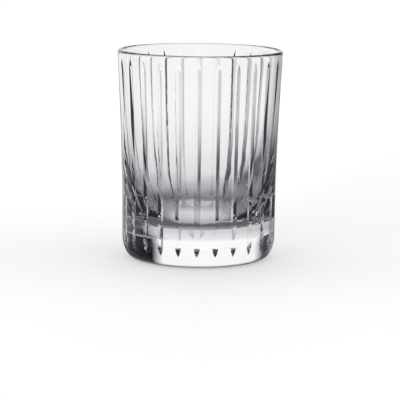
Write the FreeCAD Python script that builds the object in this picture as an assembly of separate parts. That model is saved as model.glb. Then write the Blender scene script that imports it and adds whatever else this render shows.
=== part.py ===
"""Cut-crystal whiskey tumbler.

A tumbler of this kind is one blown and ground piece of lead crystal: a round
cup with a heavy solid base, a thin fire-polished lip, and a ring of vertical
mitre cuts ground into the outside.  Millimetres, +Z up, and the origin is the
middle of the face that the tumbler stands on.
"""
import FreeCAD
import Part
import math
import os

# --- Outside of the cup ---
HEIGHT = 100.0
LIP_RADIUS = 39.6            # outside, at the top
WALL_RADIUS = 36.85          # outside, where the wall rises out of the heel
HEEL_HEIGHT = 10.8           # the rounded heel is a quarter of an ellipse
HEEL_DEPTH = 5.5

# --- Inside of the cup ---
LIP_THICKNESS = 2.1
FLOOR_HEIGHT = 17.4          # thickness of the solid base
FLOOR_RADIUS = 22.0          # flat middle of the floor
STRAIGHT_END_RADIUS = 35.3   # where the straight inner wall turns into the bowl
STRAIGHT_END_HEIGHT = 65.0
BOWL_WALL_PULL = 36.0        # how far the bowl's curve follows the wall
BOWL_FLOOR_PULL = 5.0        # how far the bowl's curve follows the floor

# --- Mitre cuts ---
CUT_COUNT = 26
CUT_DEPTH = 0.7
CUT_INCLUDED_ANGLE = 130.0
CUT_FIRST_AZIMUTH = -0.3     # degrees from -Y towards +X
CUT_FULL_DEPTH_TOP = 91.0    # above this height the wheel lifts out of the wall
WHEEL_RADIUS = 25.0
RUN_OUT_TURN = 60.0          # how far the tool is turned round the wheel's centre to run out
CUT_CLEARANCE = 1.5          # how far the tool stands out of the glass

# --- Worked out from the dimensions above ---
LIP_ROUND = LIP_THICKNESS / 2
WALL_TOP = HEIGHT - LIP_ROUND
WALL_RISE = WALL_TOP - HEEL_HEIGHT
WALL_FLARE = LIP_RADIUS - WALL_RADIUS
# The outer wall is one arc, vertical where it leaves the heel.
WALL_ARC_RADIUS = (WALL_RISE ** 2 + WALL_FLARE ** 2) / (2 * WALL_FLARE)
WALL_ARC_CENTRE = FreeCAD.Vector(WALL_RADIUS + WALL_ARC_RADIUS, 0, HEEL_HEIGHT)

UP = FreeCAD.Vector(0, 0, 1)
ORIGIN = FreeCAD.Vector(0, 0, 0)
SECTION_NORMAL = FreeCAD.Vector(0, 1, 0)


def at(radius, height):
    """A point of the half section, which is drawn in the XZ plane."""
    return FreeCAD.Vector(radius, 0, height)


def wall_point(height):
    """A point on the outer wall's arc."""
    rise = height - HEEL_HEIGHT
    inset = math.sqrt(WALL_ARC_RADIUS ** 2 - rise ** 2)
    return at(WALL_ARC_CENTRE.x - inset, height)


def heel_edge():
    """Quarter ellipse from the foot's edge up to the wall."""
    foot_radius = WALL_RADIUS - HEEL_DEPTH
    centre = at(foot_radius, HEEL_HEIGHT)
    ellipse = Part.Ellipse(at(foot_radius, 0), at(WALL_RADIUS, HEEL_HEIGHT), centre)
    start = ellipse.parameter(at(foot_radius, 0))
    end = ellipse.parameter(at(WALL_RADIUS, HEEL_HEIGHT))
    if end < start:
        end += 2 * math.pi
    return ellipse.toShape(start, end)


def bowl_edge():
    """Curve that carries the straight inner wall round into the flat floor."""
    wall_end = at(STRAIGHT_END_RADIUS, STRAIGHT_END_HEIGHT)
    along_wall = wall_end - at(LIP_RADIUS - LIP_THICKNESS, WALL_TOP)
    along_wall.normalize()
    floor_edge = at(FLOOR_RADIUS, FLOOR_HEIGHT)
    curve = Part.BezierCurve()
    curve.setPoles([
        wall_end,
        wall_end + along_wall * BOWL_WALL_PULL,
        floor_edge + FreeCAD.Vector(BOWL_FLOOR_PULL, 0, 0),
        floor_edge,
    ])
    return curve.toShape()


def blank():
    """The tumbler before it is cut: the half section turned about Z."""
    foot_radius = WALL_RADIUS - HEEL_DEPTH
    outer_lip = at(LIP_RADIUS, WALL_TOP)
    lip_crest = at(LIP_RADIUS - LIP_ROUND, HEIGHT)
    inner_lip = at(LIP_RADIUS - LIP_THICKNESS, WALL_TOP)
    wall_end = at(STRAIGHT_END_RADIUS, STRAIGHT_END_HEIGHT)
    wall_middle = wall_point((HEEL_HEIGHT + WALL_TOP) / 2)
    edges = [
        Part.LineSegment(ORIGIN, at(foot_radius, 0)).toShape(),
        heel_edge(),
        Part.Arc(at(WALL_RADIUS, HEEL_HEIGHT), wall_middle, outer_lip).toShape(),
        Part.Arc(outer_lip, lip_crest, inner_lip).toShape(),
        Part.LineSegment(inner_lip, wall_end).toShape(),
        bowl_edge(),
        Part.LineSegment(at(FLOOR_RADIUS, FLOOR_HEIGHT), at(0, FLOOR_HEIGHT)).toShape(),
        Part.LineSegment(at(0, FLOOR_HEIGHT), ORIGIN).toShape(),
    ]
    section = Part.Face(Part.Wire(Part.__sortEdges__(edges)))
    return section.revolve(ORIGIN, UP, 360)


def mitre_cut():
    """Tool for one cut, on the +X side: a V that follows the wall's arc and
    then lifts out of it below the lip on the radius of the cutting wheel."""
    half_width = (CUT_DEPTH + CUT_CLEARANCE) * math.tan(math.radians(CUT_INCLUDED_ANGLE / 2))
    valley = at(WALL_RADIUS - CUT_DEPTH, HEEL_HEIGHT)
    left = at(WALL_RADIUS + CUT_CLEARANCE, HEEL_HEIGHT) + SECTION_NORMAL * half_width
    right = at(WALL_RADIUS + CUT_CLEARANCE, HEEL_HEIGHT) - SECTION_NORMAL * half_width
    vee = Part.Face(Part.makePolygon([valley, left, right, valley]))

    below_foot = math.degrees(2 * HEEL_HEIGHT / WALL_ARC_RADIUS)
    up_to_top = math.degrees(math.asin((CUT_FULL_DEPTH_TOP - HEEL_HEIGHT) / WALL_ARC_RADIUS))
    lowest = vee.rotated(WALL_ARC_CENTRE, SECTION_NORMAL, -below_foot)
    groove = lowest.revolve(WALL_ARC_CENTRE, SECTION_NORMAL, below_foot + up_to_top)

    top = vee.rotated(WALL_ARC_CENTRE, SECTION_NORMAL, up_to_top)
    outwards = WALL_ARC_CENTRE - wall_point(CUT_FULL_DEPTH_TOP)
    outwards.normalize()
    wheel_centre = wall_point(CUT_FULL_DEPTH_TOP) + outwards * (WHEEL_RADIUS - CUT_DEPTH)
    run_out = top.revolve(wheel_centre, SECTION_NORMAL, RUN_OUT_TURN)
    return groove.fuse(run_out)


def tumbler():
    """The finished tumbler: the blank with its ring of cuts."""
    tool = mitre_cut()
    tools = []
    for index in range(CUT_COUNT):
        azimuth = CUT_FIRST_AZIMUTH - 90 + index * 360 / CUT_COUNT
        tools.append(tool.rotated(ORIGIN, UP, azimuth))
    return blank().cut(tools)


glass = tumbler()
if not glass.isValid() or len(glass.Solids) != 1:
    raise ValueError("the tumbler is not one valid solid")

os.makedirs("parts", exist_ok=True)
glass.Solids[0].exportStep("parts/crystal_tumbler.step")
box = glass.optimalBoundingBox()
print("box", round(box.XLength, 2), round(box.YLength, 2), round(box.ZLength, 2))
print("volume_ml_of_glass", round(glass.Volume / 1000, 1))
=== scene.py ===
import math
import random

import bmesh
import bpy
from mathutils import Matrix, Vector, noise


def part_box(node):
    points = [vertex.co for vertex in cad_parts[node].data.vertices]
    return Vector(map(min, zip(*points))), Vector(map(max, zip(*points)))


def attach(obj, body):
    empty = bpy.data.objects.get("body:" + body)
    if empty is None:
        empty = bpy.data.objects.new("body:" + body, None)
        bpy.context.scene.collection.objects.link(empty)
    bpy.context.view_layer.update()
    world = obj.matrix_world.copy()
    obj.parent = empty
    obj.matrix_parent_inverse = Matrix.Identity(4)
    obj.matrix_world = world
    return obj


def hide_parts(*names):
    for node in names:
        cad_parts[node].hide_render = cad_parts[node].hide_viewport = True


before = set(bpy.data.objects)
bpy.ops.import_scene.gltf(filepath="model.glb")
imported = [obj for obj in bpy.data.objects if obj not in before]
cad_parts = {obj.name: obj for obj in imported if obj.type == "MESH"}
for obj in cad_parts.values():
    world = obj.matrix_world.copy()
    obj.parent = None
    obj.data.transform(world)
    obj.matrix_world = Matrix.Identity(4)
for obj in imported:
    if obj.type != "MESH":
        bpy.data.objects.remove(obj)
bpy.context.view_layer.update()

# A cut-crystal tumbler as one closed skin of glass, and the studio that it stands in.
NODE = "crystal_tumbler"
MM = 0.001

# --- Overall sizes, from the frame ---
NODE_LOW, NODE_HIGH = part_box(NODE)
HEIGHT = NODE_HIGH.z - NODE_LOW.z
LIP_RADIUS = (NODE_HIGH.x - NODE_LOW.x) / 2

# --- Section of the glass ---
WALL_RADIUS = 36.85 * MM           # outside, where the wall rises out of the heel
HEEL_HEIGHT = 10.8 * MM            # the heel is a quarter of an ellipse
HEEL_DEPTH = 5.5 * MM
LIP_THICKNESS = 2.1 * MM
FLOOR_HEIGHT = 17.4 * MM           # thickness of the solid base
FLOOR_RADIUS = 22.0 * MM           # flat middle of the floor
STRAIGHT_END_RADIUS = 35.3 * MM    # where the straight inner wall turns into the bowl
STRAIGHT_END_HEIGHT = 65.0 * MM
BOWL_WALL_PULL = 36.0 * MM         # how far the bowl's curve follows the wall
BOWL_FLOOR_PULL = 5.0 * MM         # how far the bowl's curve follows the floor

LIP_ROUND = LIP_THICKNESS / 2
WALL_TOP = HEIGHT - LIP_ROUND
FOOT_RADIUS = WALL_RADIUS - HEEL_DEPTH
WALL_RISE = WALL_TOP - HEEL_HEIGHT
WALL_FLARE = LIP_RADIUS - WALL_RADIUS
WALL_ARC_RADIUS = (WALL_RISE ** 2 + WALL_FLARE ** 2) / (2 * WALL_FLARE)

# --- Mitre cuts ---
CUT_COUNT = 26
CUT_DEPTH = 0.7 * MM
CUT_HALF_ANGLE = math.radians(65)
CUT_FIRST_AZIMUTH = math.radians(-0.3)  # from -Y towards +X
CUT_FULL_DEPTH_TOP = 91.0 * MM     # above this height the wheel lifts out of the wall
WHEEL_RADIUS = 25.0 * MM
# The cuts are ground by hand and eye: their ring sits a little to -X of the glass's
# axis, and each cut wanders from its even place.
CUT_RING_SHIFT = 0.55 * MM
CUT_WANDER = 0.17 * MM
CUT_WANDER_SEED = 26

# --- The inside of the bowl is blown, so it is not quite even ---
RIPPLE_HEIGHT = 0.10 * MM
RIPPLE_LENGTH = 6.0 * MM
RIPPLE_STARTS = 60.0 * MM          # no ripple above this height
RIPPLE_FULL = 35.0 * MM            # and the whole ripple below this one

# --- Glass ---
GLASS_IOR = 1.55
# The plain glass has slow waves, and the cuts have fine lines along the wheel's path.
PLAIN_ACROSS = 14.0 * MM
PLAIN_ALONG = 22.0 * MM
PLAIN_DEPTH = 0.02 * MM
PLAIN_ROUGHEST = 0.004
CUT_ACROSS = 0.8 * MM
CUT_ALONG = 30.0 * MM
CUT_WAVE_DEPTH = 0.01 * MM
CUT_ROUGHEST = 0.03
CUT_FINISH = 1                     # material slot of the cuts
WAVE_DETAIL = 2.0
POLISHED_BELOW = 0.4               # the waves' value up to which the polish is perfect
ROUGHEST_ABOVE = 0.8               # and the one from which it is at its roughest

# --- Fineness of the mesh ---
FACET_STEPS = 12                   # columns across the uncut glass between two cuts
CUT_STEPS = 3                      # columns down each side of a cut
FOOT_RINGS = (0.33, 0.66)          # rings across the foot, as shares of its radius
HEEL_ROWS = 14
WALL_ROWS = 28
RUN_OUT_ROWS = 12
LIP_ROWS = 14
INNER_WALL_ROWS = 10
BOWL_ROWS = 60
FLOOR_ROWS = 10
SAME_POINT = 1e-9                  # metres; nearer points are one vertex
SAME_HEIGHT = 1e-6                 # metres; nearer heights are one row

# --- Ground that the camera sees: plain, pale and a little below the foot ---
GROUND_HALF_SIZE = 3.0
GROUND_DROP = 0.2 * MM
GROUND_TONE = 0.5
GROUND_ROUGHNESS = 0.8
GROUND_GLOW = 0.47

# --- Studio that only the glass sees ---
# Each list is (degrees or metres, brightness), where a brightness of 1 is paper white.
# Degrees are round from straight behind the tumbler towards the right, or up from the
# table, and metres are from the tumbler's axis.
STUDIO_RADIUS = 2.0
STUDIO_SUBDIVISIONS = 5
STUDIO_DROP = 0.1 * MM
STUDIO_TABLE_SHARE = 0.99          # radius of the studio's table, as a share of the dome's
STUDIO_TABLE_SEGMENTS = 96
STUDIO_TABLE_SLOT = 1            # material slot of the table
STUDIO_STRENGTH = 1.02             # makes up for what the glass reflects away
STUDIO_COOLNESS = 0.93             # power of the blue channel, so dark tones are a little blue
# A white backdrop behind, black flags at both of its ends, and a dim room all round.
BACKDROP = [(-180, 0.6), (-150, 0.6), (-120, 0.4), (-70, 0.3), (-58, 0.03), (-50, 0.03),
            (-38, 1.0), (20, 1.0), (28, 0.0), (60, 0.0), (75, 0.3), (120, 0.4), (150, 0.6),
            (180, 0.6)]
CEILING_BRIGHTNESS = 0.17
CEILING_FROM = [(16, 0.0), (30, 1.0)]
LAMP_BRIGHTNESS = 1.6              # a round softbox overhead
LAMP_FROM = [(70, 0.0), (72, 1.0)]
# The table has painted light and shade: a painted pool of light in the middle of the foot, a painted
# shadow dark round its rim, and white further off.
TABLE_PAINTED_SHADOW_AND_LIGHT = [(0.0, 0.65), (0.012, 0.50), (0.020, 0.20), (0.028, 0.09), (0.042, 0.11),
         (0.070, 0.42), (0.120, 0.75), (0.200, 0.85), (0.500, 0.93)]
# Painted shade of the flags on the table: near the tumbler it is dimmer to the sides and nearly black
# towards the right flag, and further off it is lighter again.
NEAR_FLAG_SHADE_FROM = [(0.03, 0.0), (0.10, 1.0)]
NEAR_FLAG_SHADE = [(-180, 0.9), (-150, 0.9), (-110, 0.45), (-80, 0.4), (-50, 0.7), (-20, 1.0),
              (12, 1.0), (22, 0.02), (55, 0.02), (75, 0.4), (110, 0.45), (150, 0.9), (180, 0.9)]
FAR_FLAG_SHADE_FROM = [(0.15, 0.0), (0.40, 1.0)]
FAR_FLAG_SHADE = [(-180, 1.0), (-150, 1.0), (-110, 0.9), (-70, 1.0), (12, 1.0), (22, 0.5), (60, 0.5),
             (90, 0.9), (150, 1.0), (180, 1.0)]

# --- Camera ---
CAMERA_DISTANCE = 0.9
CAMERA_HEIGHT = 0.1752
CAMERA_PITCH = math.radians(9.345)
CAMERA_ROLL = math.radians(0.636)
CAMERA_YAW = math.radians(-0.04)
CAMERA_LENS = 169.6
CAMERA_SENSOR = 36.0

LIGHT_BOUNCES = 32                 # enough for light to find its way through the base


def wall_radius(height):
    """Outside radius of the uncut glass: an elliptic heel, then one long arc."""
    if height < HEEL_HEIGHT:
        drop = (HEEL_HEIGHT - height) / HEEL_HEIGHT
        return FOOT_RADIUS + HEEL_DEPTH * math.sqrt(max(0.0, 1 - drop ** 2))
    rise = height - HEEL_HEIGHT
    return WALL_RADIUS + WALL_ARC_RADIUS - math.sqrt(WALL_ARC_RADIUS ** 2 - rise ** 2)


def valley_radius(height):
    """Radius of the bottom of a cut: straight down through the heel, and lifted
    out of the wall at the top on the radius of the cutting wheel."""
    if height < HEEL_HEIGHT:
        return WALL_RADIUS - CUT_DEPTH
    if height < CUT_FULL_DEPTH_TOP:
        return wall_radius(height) - CUT_DEPTH
    above = height - CUT_FULL_DEPTH_TOP
    slope = (CUT_FULL_DEPTH_TOP - HEEL_HEIGHT) / WALL_ARC_RADIUS
    lift = WHEEL_RADIUS - math.sqrt(WHEEL_RADIUS ** 2 - min(above, WHEEL_RADIUS) ** 2)
    return wall_radius(CUT_FULL_DEPTH_TOP) - CUT_DEPTH + slope * above + lift


def crossing(low, high, steps=50):
    """Height between low and high where the cut's valley meets the wall."""
    inside_at_low = valley_radius(low) < wall_radius(low)
    for _ in range(steps):
        middle = (low + high) / 2
        if (valley_radius(middle) < wall_radius(middle)) == inside_at_low:
            low = middle
        else:
            high = middle
    return (low + high) / 2


CUT_BOTTOM = crossing(0.0, HEEL_HEIGHT)
CUT_TOP = crossing(CUT_FULL_DEPTH_TOP, WALL_TOP)


def cut_azimuths():
    """Azimuth of every cut, and of the first one again after a full turn."""
    wander = random.Random(CUT_WANDER_SEED)
    azimuths = []
    for index in range(CUT_COUNT):
        even = CUT_FIRST_AZIMUTH + 2 * math.pi * index / CUT_COUNT
        aside = wander.uniform(-CUT_WANDER, CUT_WANDER) - CUT_RING_SHIFT * math.cos(even)
        azimuths.append(even + aside / WALL_RADIUS)
    return azimuths + [azimuths[0] + 2 * math.pi]


CUT_AZIMUTHS = cut_azimuths()


def spread(start, end, count):
    """count values from start up to, but without, end."""
    return [start + (end - start) * index / count for index in range(count)]


def outer_heights():
    """Heights of the outside rows, from the foot's edge up to the lip."""
    def heel(angle):
        return HEEL_HEIGHT * (1 - math.sin(angle))

    cut_angle = math.asin(1 - CUT_BOTTOM / HEEL_HEIGHT)
    below = [heel(angle) for angle in spread(math.pi / 2, cut_angle, HEEL_ROWS)]
    beside = [heel(angle) for angle in spread(cut_angle, 0.0, HEEL_ROWS)]
    wall = spread(HEEL_HEIGHT, CUT_FULL_DEPTH_TOP, WALL_ROWS)
    run_out = spread(CUT_FULL_DEPTH_TOP, CUT_TOP, RUN_OUT_ROWS)
    return below + beside + wall + run_out + [CUT_TOP, (CUT_TOP + WALL_TOP) / 2]


def cut_edge(height):
    """Where a cut's side meets the wall: how far across from the valley, and how far
    out from the glass's axis."""
    valley = valley_radius(height)
    radius = wall_radius(height)
    rise = 1 / math.tan(CUT_HALF_ANGLE)
    # The edge is where the cut's straight side meets the circle of the wall.
    square = 1 + rise ** 2
    linear = valley * rise
    across = (math.sqrt(linear ** 2 + square * (radius ** 2 - valley ** 2)) - linear) / square
    return across, valley + across * rise


def cut_sides(height):
    """Half angle of a cut, and the points of its two sides as (azimuth from the valley,
    radius)."""
    edge_across, edge_out = cut_edge(height)
    valley = valley_radius(height)
    sides = []
    for step in range(1 - CUT_STEPS, CUT_STEPS):
        share = abs(step) / CUT_STEPS
        across = edge_across * share
        outward = valley + (edge_out - valley) * share
        angle = math.copysign(math.atan2(across, outward), step)
        sides.append((angle, math.hypot(across, outward)))
    return math.atan2(edge_across, edge_out), sides


def plain_row(radius):
    """One ring of uncut glass as (azimuth, radius) pairs. The columns of a cut share
    one point here, which add_ring joins into one vertex."""
    ring = []
    for centre, following in zip(CUT_AZIMUTHS, CUT_AZIMUTHS[1:]):
        ring += [(centre, radius)] * (2 * CUT_STEPS)
        ring += [(azimuth, radius) for azimuth in spread(centre, following, FACET_STEPS)]
    return ring


def outer_row(height):
    """One ring of the outside, in the same columns as plain_row."""
    radius = wall_radius(height)
    if not CUT_BOTTOM < height < CUT_TOP:
        return plain_row(radius)
    half, sides = cut_sides(height)
    ring = []
    for centre, following in zip(CUT_AZIMUTHS, CUT_AZIMUTHS[1:]):
        ring.append((centre - half, radius))
        ring += [(centre + angle, side_radius) for angle, side_radius in sides]
        facet = spread(centre + half, following - half, FACET_STEPS)
        ring += [(azimuth, radius) for azimuth in facet]
    return ring


def lip_points():
    """Half round of the lip, from the outer wall over to the inner one."""
    centre = LIP_RADIUS - LIP_ROUND
    points = []
    for angle in spread(0.0, math.pi, LIP_ROWS):
        points.append((centre + LIP_ROUND * math.cos(angle), WALL_TOP + LIP_ROUND * math.sin(angle)))
    return points


def inner_points():
    """Inside of the cup: a straight wall, then a curve round into the flat floor."""
    top = Vector((LIP_RADIUS - LIP_THICKNESS, WALL_TOP))
    turn = Vector((STRAIGHT_END_RADIUS, STRAIGHT_END_HEIGHT))
    floor = Vector((FLOOR_RADIUS, FLOOR_HEIGHT))
    wall_pull = turn + (turn - top).normalized() * BOWL_WALL_PULL
    floor_pull = floor + Vector((BOWL_FLOOR_PULL, 0))
    points = [top.lerp(turn, share) for share in spread(0.0, 1.0, INNER_WALL_ROWS)]
    for share in spread(0.0, 1.0, BOWL_ROWS):
        rest = 1 - share
        near_wall = rest ** 3 * turn + 3 * rest * rest * share * wall_pull
        points.append(near_wall + 3 * rest * share * share * floor_pull + share ** 3 * floor)
    for share in spread(1.0, 0.0, FLOOR_ROWS):
        points.append(Vector((FLOOR_RADIUS * share, FLOOR_HEIGHT)))
    return [tuple(point) for point in points]


def rippled(place):
    """A point of the inside, moved in or out by the waviness of the blown bowl."""
    share = (RIPPLE_STARTS - place.z) / (RIPPLE_STARTS - RIPPLE_FULL)
    amount = RIPPLE_HEIGHT * min(max(share, 0.0), 1.0) * noise.noise(place / RIPPLE_LENGTH)
    inwards = (Vector((0, 0, HEIGHT / 2)) - place).normalized()
    return place + inwards * amount


def add_ring(mesh, ring, height, inside=False):
    """Adds a ring of vertices, one for each run of equal points."""
    vertices = []
    for azimuth, radius in ring:
        place = Vector((radius * math.sin(azimuth), -radius * math.cos(azimuth), height))
        if inside:
            place = rippled(place)
        if vertices and (vertices[-1].co - place).length < SAME_POINT:
            vertices.append(vertices[-1])
        elif vertices and (vertices[0].co - place).length < SAME_POINT:
            vertices.append(vertices[0])
        else:
            vertices.append(mesh.verts.new(place))
    return vertices


def bridge(mesh, lower, upper):
    """Faces between two rings; a quad with a shared corner becomes a triangle."""
    count = len(lower)
    for column in range(count):
        following = (column + 1) % count
        corners = []
        for vertex in (lower[column], lower[following], upper[following], upper[column]):
            if vertex not in corners:
                corners.append(vertex)
        if len(corners) > 2:
            mesh.faces.new(corners)


def cap(mesh, ring, height):
    """Closes a ring with a fan of triangles round its middle."""
    middle = mesh.verts.new((0, 0, height))
    unique = [vertex for index, vertex in enumerate(ring) if vertex is not ring[index - 1]]
    for index, vertex in enumerate(unique):
        mesh.faces.new((unique[index - 1], vertex, middle))


def finish_cuts(rings):
    """Gives the cuts their own finish, and keeps their edges and valleys crisp."""
    columns = 2 * CUT_STEPS + FACET_STEPS
    for lower, upper in zip(rings, rings[1:]):
        for first in range(0, len(lower), columns):
            for column in (first, first + CUT_STEPS, first + 2 * CUT_STEPS):  # edge, valley, edge
                corners = {lower[column], upper[column]}
                for edge in lower[column].link_edges:
                    if set(edge.verts) == corners:
                        edge.smooth = False
            last = first + 2 * CUT_STEPS
            in_cut = set(lower[first:last + 1] + upper[first:last + 1])
            for vertex in in_cut:
                for face in vertex.link_faces:
                    if in_cut.issuperset(face.verts):
                        face.material_index = CUT_FINISH


def tumbler_mesh():
    """The whole tumbler as one closed skin."""
    mesh = bmesh.new()
    cut_rings = []
    rings = [add_ring(mesh, plain_row(FOOT_RADIUS * share), 0.0) for share in FOOT_RINGS]
    for height in outer_heights():
        rings.append(add_ring(mesh, outer_row(height), height))
        if CUT_BOTTOM - SAME_HEIGHT < height < CUT_TOP + SAME_HEIGHT:
            cut_rings.append(rings[-1])
    for radius, height in lip_points():
        rings.append(add_ring(mesh, plain_row(radius), height))
    for radius, height in inner_points():
        rings.append(add_ring(mesh, plain_row(radius), height, inside=True))
    for lower, upper in zip(rings, rings[1:]):
        bridge(mesh, lower, upper)
    cap(mesh, rings[0], 0.0)
    cap(mesh, rings[-1], FLOOR_HEIGHT)
    for face in mesh.faces:
        face.smooth = True
    finish_cuts(cut_rings)
    bmesh.ops.recalc_face_normals(mesh, faces=mesh.faces)
    data = bpy.data.meshes.new("tumbler_glass")
    mesh.to_mesh(data)
    mesh.free()
    return data


def node(tree, kind, **settings):
    """Adds a node and sets its properties."""
    added = tree.nodes.new(kind)
    for name, value in settings.items():
        setattr(added, name, value)
    return added


def crystal_material(name, across, along, depth, roughest):
    """Clear lead crystal. Its surface waves over lengths across and along the height of
    the glass, by a depth, and its polish varies from perfect to roughest."""
    material = bpy.data.materials.new(name)
    material.use_nodes = True
    tree = material.node_tree
    glass = tree.nodes["Principled BSDF"]
    glass.inputs["Base Color"].default_value = (1, 1, 1, 1)
    glass.inputs["Transmission Weight"].default_value = 1.0
    glass.inputs["IOR"].default_value = GLASS_IOR

    place = node(tree, "ShaderNodeTexCoord")
    stretch = node(tree, "ShaderNodeMapping")
    stretch.inputs["Scale"].default_value = (1 / across, 1 / across, 1 / along)
    tree.links.new(place.outputs["Object"], stretch.inputs["Vector"])
    waves = node(tree, "ShaderNodeTexNoise")
    waves.inputs["Scale"].default_value = 1.0
    waves.inputs["Detail"].default_value = WAVE_DETAIL
    tree.links.new(stretch.outputs["Vector"], waves.inputs["Vector"])

    bump = node(tree, "ShaderNodeBump")
    bump.inputs["Distance"].default_value = depth
    tree.links.new(waves.outputs["Fac"], bump.inputs["Height"])
    tree.links.new(bump.outputs["Normal"], glass.inputs["Normal"])

    polish = node(tree, "ShaderNodeMapRange")
    polish.inputs["From Min"].default_value = POLISHED_BELOW
    polish.inputs["From Max"].default_value = ROUGHEST_ABOVE
    polish.inputs["To Max"].default_value = roughest
    tree.links.new(waves.outputs["Fac"], polish.inputs["Value"])
    tree.links.new(polish.outputs["Result"], glass.inputs["Roughness"])
    return material


def make_tumbler():
    """The glass itself, which stands for the CAD node."""
    tumbler = bpy.data.objects.new("tumbler_glass", tumbler_mesh())
    bpy.context.scene.collection.objects.link(tumbler)
    tumbler.data.materials.append(
        crystal_material("lead_crystal", PLAIN_ACROSS, PLAIN_ALONG, PLAIN_DEPTH, PLAIN_ROUGHEST))
    tumbler.data.materials.append(
        crystal_material("lead_crystal_cut", CUT_ACROSS, CUT_ALONG, CUT_WAVE_DEPTH, CUT_ROUGHEST))
    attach(tumbler, "root")
    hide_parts(NODE)


def make_floor():
    """A plain pale ground for the camera. The glass sees the studio's table instead."""
    size = GROUND_HALF_SIZE
    corners = [(-size, -size, 0), (size, -size, 0), (size, size, 0), (-size, size, 0)]
    data = bpy.data.meshes.new("floor")
    data.from_pydata(corners, [], [(0, 1, 2, 3)])
    floor = bpy.data.objects.new("floor", data)
    floor.location.z = -GROUND_DROP
    bpy.context.scene.collection.objects.link(floor)
    material = bpy.data.materials.new("floor")
    material.use_nodes = True
    shader = material.node_tree.nodes["Principled BSDF"]
    shader.inputs["Base Color"].default_value = (GROUND_TONE, GROUND_TONE, GROUND_TONE, 1)
    shader.inputs["Roughness"].default_value = GROUND_ROUGHNESS
    shader.inputs["Emission Color"].default_value = (1, 1, 1, 1)
    shader.inputs["Emission Strength"].default_value = GROUND_GLOW
    floor.data.materials.append(material)
    floor.visible_transmission = False
    floor.visible_glossy = False


def graded(tree, value, stops):
    """Socket whose brightness follows a measured value; stops are (value, brightness)."""
    lowest = stops[0][0]
    highest = stops[-1][0]
    scale = node(tree, "ShaderNodeMapRange")
    scale.inputs["From Min"].default_value = lowest
    scale.inputs["From Max"].default_value = highest
    tree.links.new(value, scale.inputs["Value"])
    ramp = node(tree, "ShaderNodeValToRGB")
    elements = ramp.color_ramp.elements
    while len(elements) < len(stops):
        elements.new(1.0)
    for element, (place, brightness) in zip(elements, stops):
        element.position = (place - lowest) / (highest - lowest)
        element.color = (brightness, brightness, brightness, 1)
    tree.links.new(scale.outputs["Result"], ramp.inputs["Fac"])
    return ramp.outputs["Color"]


def combined(tree, operation, *values):
    """Socket with the result of a Math node; a value is a socket or a number."""
    maths = node(tree, "ShaderNodeMath", operation=operation)
    for slot, value in zip(maths.inputs, values):
        if isinstance(value, (int, float)):
            slot.default_value = value
        else:
            tree.links.new(value, slot)
    return maths.outputs["Value"]


def around_the_tumbler(tree):
    """Sockets with where a point of the studio is, as seen from the tumbler: degrees
    round from straight behind it towards the right, metres from its axis, and degrees up."""
    split = node(tree, "ShaderNodeSeparateXYZ")
    geometry = node(tree, "ShaderNodeNewGeometry")
    tree.links.new(geometry.outputs["Position"], split.inputs["Vector"])
    x = split.outputs["X"]
    y = split.outputs["Y"]
    azimuth = combined(tree, "DEGREES", combined(tree, "ARCTAN2", x, y))
    y_squared = combined(tree, "MULTIPLY", y, y)
    distance = combined(tree, "SQRT", combined(tree, "MULTIPLY_ADD", x, x, y_squared))
    elevation = combined(tree, "DEGREES", combined(tree, "ARCTAN2", split.outputs["Z"], distance))
    return azimuth, distance, elevation


def mixed(tree, share, start, end):
    """Socket that goes from start to end as share goes from 0 to 1."""
    mix = node(tree, "ShaderNodeMix", data_type="FLOAT")
    for slot, value in zip(("Factor", "A", "B"), (share, start, end)):
        if isinstance(value, (int, float)):
            mix.inputs[slot].default_value = value
        else:
            tree.links.new(value, mix.inputs[slot])
    return mix.outputs["Result"]


def glowing_material(name, brightness):
    """Light-giving material, with the socket that brightness(tree) makes as its level."""
    material = bpy.data.materials.new(name)
    material.use_nodes = True
    tree = material.node_tree
    tree.nodes.clear()
    level = brightness(tree)
    colour = node(tree, "ShaderNodeCombineColor")
    tree.links.new(level, colour.inputs["Red"])
    tree.links.new(level, colour.inputs["Green"])
    tree.links.new(combined(tree, "POWER", level, STUDIO_COOLNESS), colour.inputs["Blue"])
    shine = node(tree, "ShaderNodeEmission")
    shine.inputs["Strength"].default_value = STUDIO_STRENGTH
    tree.links.new(colour.outputs["Color"], shine.inputs["Color"])
    output = node(tree, "ShaderNodeOutputMaterial")
    tree.links.new(shine.outputs["Emission"], output.inputs["Surface"])
    return material


def backdrop_brightness(tree):
    """The backdrop and flags, the ceiling over them, and the lamp in the ceiling."""
    azimuth, _, elevation = around_the_tumbler(tree)
    lamp_share = graded(tree, elevation, LAMP_FROM)
    ceiling = mixed(tree, lamp_share, CEILING_BRIGHTNESS, LAMP_BRIGHTNESS)
    ceiling_share = graded(tree, elevation, CEILING_FROM)
    return mixed(tree, ceiling_share, graded(tree, azimuth, BACKDROP), ceiling)


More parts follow.
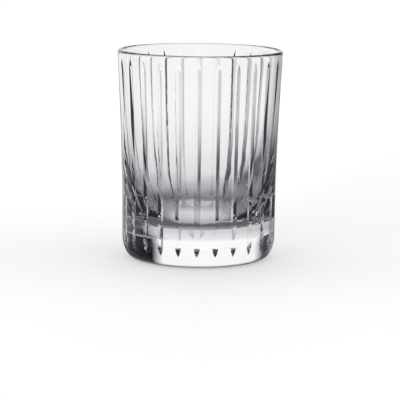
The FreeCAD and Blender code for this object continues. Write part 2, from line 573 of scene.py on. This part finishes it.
def table_painted_light_and_shade(tree):
    """The table's painted pool of light and painted shadow by distance, times the painted shade
    towards the flags.
    """
    azimuth, distance, _ = around_the_tumbler(tree)
    # painted shade towards the flags, near the tumbler and further off
    near_share = graded(tree, distance, NEAR_FLAG_SHADE_FROM)
    near = mixed(tree, near_share, 1.0, graded(tree, azimuth, NEAR_FLAG_SHADE))
    far_share = graded(tree, distance, FAR_FLAG_SHADE_FROM)
    sides = mixed(tree, far_share, near, graded(tree, azimuth, FAR_FLAG_SHADE))
    # painted shadow and pool of light by distance, dimmed by the painted shade of the flags
    return combined(tree, "MULTIPLY", graded(tree, distance, TABLE_PAINTED_SHADOW_AND_LIGHT), sides)


def make_studio():
    """Dome and table round the tumbler, which only the glass sees."""
    mesh = bmesh.new()
    bmesh.ops.create_icosphere(mesh, subdivisions=STUDIO_SUBDIVISIONS, radius=STUDIO_RADIUS)
    table = bmesh.ops.create_circle(
        mesh, cap_ends=True, segments=STUDIO_TABLE_SEGMENTS, radius=STUDIO_RADIUS * STUDIO_TABLE_SHARE)
    for face in table["verts"][0].link_faces:
        face.material_index = STUDIO_TABLE_SLOT
    data = bpy.data.meshes.new("studio")
    mesh.to_mesh(data)
    mesh.free()
    studio = bpy.data.objects.new("studio", data)
    studio.location.z = -STUDIO_DROP
    bpy.context.scene.collection.objects.link(studio)
    data.materials.append(glowing_material("studio_backdrop", backdrop_brightness))
    data.materials.append(glowing_material("studio_table", table_painted_light_and_shade))
    studio.visible_camera = False
    studio.visible_diffuse = False
    studio.visible_shadow = False


def make_world():
    """White light from all round, for the ground."""
    world = bpy.data.worlds.new("studio")
    world.use_nodes = True
    world.node_tree.nodes["Background"].inputs["Color"].default_value = (1, 1, 1, 1)
    bpy.context.scene.world = world


def make_camera():
    """A long lens, a little above the lip and tilted down."""
    data = bpy.data.cameras.new("camera")
    data.lens = CAMERA_LENS
    data.sensor_width = CAMERA_SENSOR
    camera = bpy.data.objects.new("camera", data)
    bpy.context.scene.collection.objects.link(camera)
    camera.location = (0, -CAMERA_DISTANCE, CAMERA_HEIGHT)
    camera.rotation_euler = (math.pi / 2 - CAMERA_PITCH, 0, CAMERA_YAW)
    camera.rotation_euler.rotate_axis("Z", CAMERA_ROLL)
    bpy.context.scene.camera = camera


make_tumbler()
make_floor()
make_studio()
make_world()
make_camera()
bpy.context.scene.view_settings.view_transform = "Standard"
bpy.context.scene.cycles.caustics_refractive = False
bpy.context.scene.cycles.caustics_reflective = False
bpy.context.scene.cycles.max_bounces = LIGHT_BOUNCES
bpy.context.scene.cycles.transmission_bounces = LIGHT_BOUNCES
